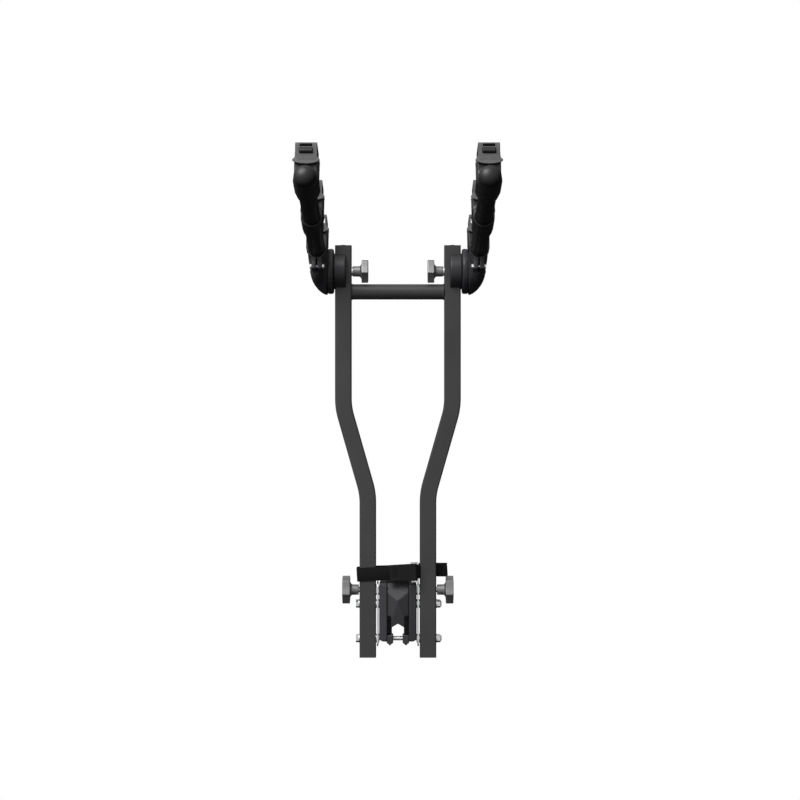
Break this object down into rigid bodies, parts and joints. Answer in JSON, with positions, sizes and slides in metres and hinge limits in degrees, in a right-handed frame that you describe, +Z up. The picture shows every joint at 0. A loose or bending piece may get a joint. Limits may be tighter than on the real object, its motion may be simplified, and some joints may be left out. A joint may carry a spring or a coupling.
{
  "type": "tow-ball bike rack",
  "caption": "Tow-ball bicycle rack: two bent rectangular uprights on a clamping ball coupling, with folding arms that carry strapped cradles.",
  "frame": {"origin": "centre of the tow ball that the coupling closes on", "axes": "+Z up, +X to the right seen from behind the car, +Y towards the car; the arms point to -Y"},
  "size_m": [0.3322, 0.5274, 0.8773],
  "materials": {
    "frame_paint": "black powder coat, satin",
    "arm_paint": "black powder coat, satin",
    "black_plastic": "moulded, matt",
    "hub_plastic": "moulded, satin",
    "cradle_plastic": "moulded, matt",
    "hood_plastic": "moulded, satin",
    "knob_plastic": "moulded, satin",
    "strap_rubber": "moulded rubber, matt",
    "pad_rubber": "soft rubber lining, matt",
    "webbing": "woven polypropylene webbing",
    "zinc": "bright zinc plate",
    "cast_metal": "cast, coated dark"
  },
  "bodies": {
    "frame": {"upright_left": "frame_paint", "upright_right": "frame_paint", "tube_plugs": "black_plastic", "crossbar": "frame_paint", "saddle_ring_left": "hub_plastic", "saddle_ring_right": "hub_plastic", "hood_cover": "hood_plastic", "hood_cheek_left": "hood_plastic", "hood_cheek_right": "hood_plastic", "ball_seat": "cast_metal", "side_plates": "zinc", "through_bolts": "zinc", "bolt_washers": "zinc", "lock_nuts": "zinc", "clamp_nuts": "zinc", "webbing_strap": "webbing", "buckle_frame": "zinc"},
    "arm_right": {"arm_hub_right": "hub_plastic", "friction_disc_right": "hub_plastic", "pinch_bolt_right": "zinc", "pivot_bolt_right": "zinc", "arm_tube_right": "arm_paint", "cradle_tip_right": "cradle_plastic", "cradle_middle_right": "cradle_plastic", "cradle_inner_right": "cradle_plastic", "cradle_pads_right": "pad_rubber", "strap_pins_right": "zinc"},
    "strap_inner_right": {"strap_inner_right": "strap_rubber", "latch_inner_right": "cradle_plastic"},
    "strap_middle_right": {"strap_middle_right": "strap_rubber", "latch_middle_right": "cradle_plastic"},
    "strap_tip_right": {"strap_tip_right": "strap_rubber", "latch_tip_right": "cradle_plastic"},
    "arm_washer_right": {"arm_washer_right": "zinc"},
    "arm_knob_right": {"arm_knob_right": "knob_plastic"},
    "ball_jaw_right": {"ball_jaw_right": "zinc"},
    "clamp_knob_right": {"clamp_knob_right": "knob_plastic", "clamp_screw_right": "zinc"},
    "arm_left": {"arm_hub_left": "hub_plastic", "friction_disc_left": "hub_plastic", "pinch_bolt_left": "zinc", "pivot_bolt_left": "zinc", "arm_tube_left": "arm_paint", "cradle_tip_left": "cradle_plastic", "cradle_middle_left": "cradle_plastic", "cradle_inner_left": "cradle_plastic", "cradle_pads_left": "pad_rubber", "strap_pins_left": "zinc"},
    "strap_inner_left": {"strap_inner_left": "strap_rubber", "latch_inner_left": "cradle_plastic"},
    "strap_middle_left": {"strap_middle_left": "strap_rubber", "latch_middle_left": "cradle_plastic"},
    "strap_tip_left": {"strap_tip_left": "strap_rubber", "latch_tip_left": "cradle_plastic"},
    "arm_washer_left": {"arm_washer_left": "zinc"},
    "arm_knob_left": {"arm_knob_left": "knob_plastic"},
    "ball_jaw_left": {"ball_jaw_left": "zinc"},
    "clamp_knob_left": {"clamp_knob_left": "knob_plastic", "clamp_screw_left": "zinc"},
    "buckle_lever": {"buckle_lever": "black_plastic"}
  },
  "joints": [
    {"name": "arm_fold_right", "type": "hinge", "parent": "frame", "child": "arm_right", "pos_m": [0.1448, -0.028, 0.629], "axis": [1, 0, 0], "range_deg": [0, 101.5]},
    {"name": "strap_inner_right_open", "type": "hinge", "parent": "arm_right", "child": "strap_inner_right", "pos_m": [0.1448, -0.02922, 0.70323], "axis": [-1, 0, 0], "range_deg": [0, 100]},
    {"name": "strap_middle_right_open", "type": "hinge", "parent": "arm_right", "child": "strap_middle_right", "pos_m": [0.1448, -0.21051, 0.74012], "axis": [-1, 0, 0], "range_deg": [0, 100]},
    {"name": "strap_tip_right_open", "type": "hinge", "parent": "arm_right", "child": "strap_tip_right", "pos_m": [0.1448, -0.3918, 0.777], "axis": [-1, 0, 0], "range_deg": [0, 100]},
    {"name": "arm_knob_right_turn", "type": "hinge", "parent": "arm_washer_right", "child": "arm_knob_right", "pos_m": [0.0602, -0.028, 0.629], "axis": [-1, 0, 0], "range_deg": [0, 1080]},
    {"name": "arm_washer_right_travel", "type": "slide", "parent": "frame", "child": "arm_washer_right", "axis": [-1, 0, 0], "range_m": [0, 0.0038]},
    {"name": "clamp_knob_right_turn", "type": "hinge", "parent": "ball_jaw_right", "child": "clamp_knob_right", "pos_m": [0.0712, -0.028, 0.0499], "axis": [1, 0, 0], "range_deg": [0, 860]},
    {"name": "ball_jaw_right_travel", "type": "slide", "parent": "frame", "child": "ball_jaw_right", "axis": [1, 0, 0], "range_m": [0, 0.0035]},
    {"name": "arm_fold_left", "type": "hinge", "parent": "frame", "child": "arm_left", "pos_m": [-0.1448, -0.028, 0.629], "axis": [1, 0, 0], "range_deg": [0, 101.5]},
    {"name": "strap_inner_left_open", "type": "hinge", "parent": "arm_left", "child": "strap_inner_left", "pos_m": [-0.1448, -0.02922, 0.70323], "axis": [-1, 0, 0], "range_deg": [0, 100]},
    {"name": "strap_middle_left_open", "type": "hinge", "parent": "arm_left", "child": "strap_middle_left", "pos_m": [-0.1448, -0.21051, 0.74012], "axis": [-1, 0, 0], "range_deg": [0, 100]},
    {"name": "strap_tip_left_open", "type": "hinge", "parent": "arm_left", "child": "strap_tip_left", "pos_m": [-0.1448, -0.3918, 0.777], "axis": [-1, 0, 0], "range_deg": [0, 100]},
    {"name": "arm_knob_left_turn", "type": "hinge", "parent": "arm_washer_left", "child": "arm_knob_left", "pos_m": [-0.0602, -0.028, 0.629], "axis": [1, 0, 0], "range_deg": [0, 1080]},
    {"name": "arm_washer_left_travel", "type": "slide", "parent": "frame", "child": "arm_washer_left", "axis": [1, 0, 0], "range_m": [0, 0.0038]},
    {"name": "clamp_knob_left_turn", "type": "hinge", "parent": "ball_jaw_left", "child": "clamp_knob_left", "pos_m": [-0.0712, -0.028, 0.0499], "axis": [-1, 0, 0], "range_deg": [0, 860]},
    {"name": "ball_jaw_left_travel", "type": "slide", "parent": "frame", "child": "ball_jaw_left", "axis": [-1, 0, 0], "range_m": [0, 0.0035]},
    {"name": "buckle_lever_open", "type": "hinge", "parent": "frame", "child": "buckle_lever", "pos_m": [0.03095, -0.0507, 0.08398], "axis": [-0.0576, 0, 0.9983], "range_deg": [0, 60]}
  ],
  "couplings": [
    {"joint": "arm_washer_right_travel", "follows": "arm_knob_right_turn", "m_per_rad": 0.00019894},
    {"joint": "clamp_knob_right_turn", "follows": "ball_jaw_right_travel", "rad_per_m": 4188.8},
    {"joint": "arm_washer_left_travel", "follows": "arm_knob_left_turn", "m_per_rad": 0.00019894},
    {"joint": "clamp_knob_left_turn", "follows": "ball_jaw_left_travel", "rad_per_m": 4188.8}
  ]
}
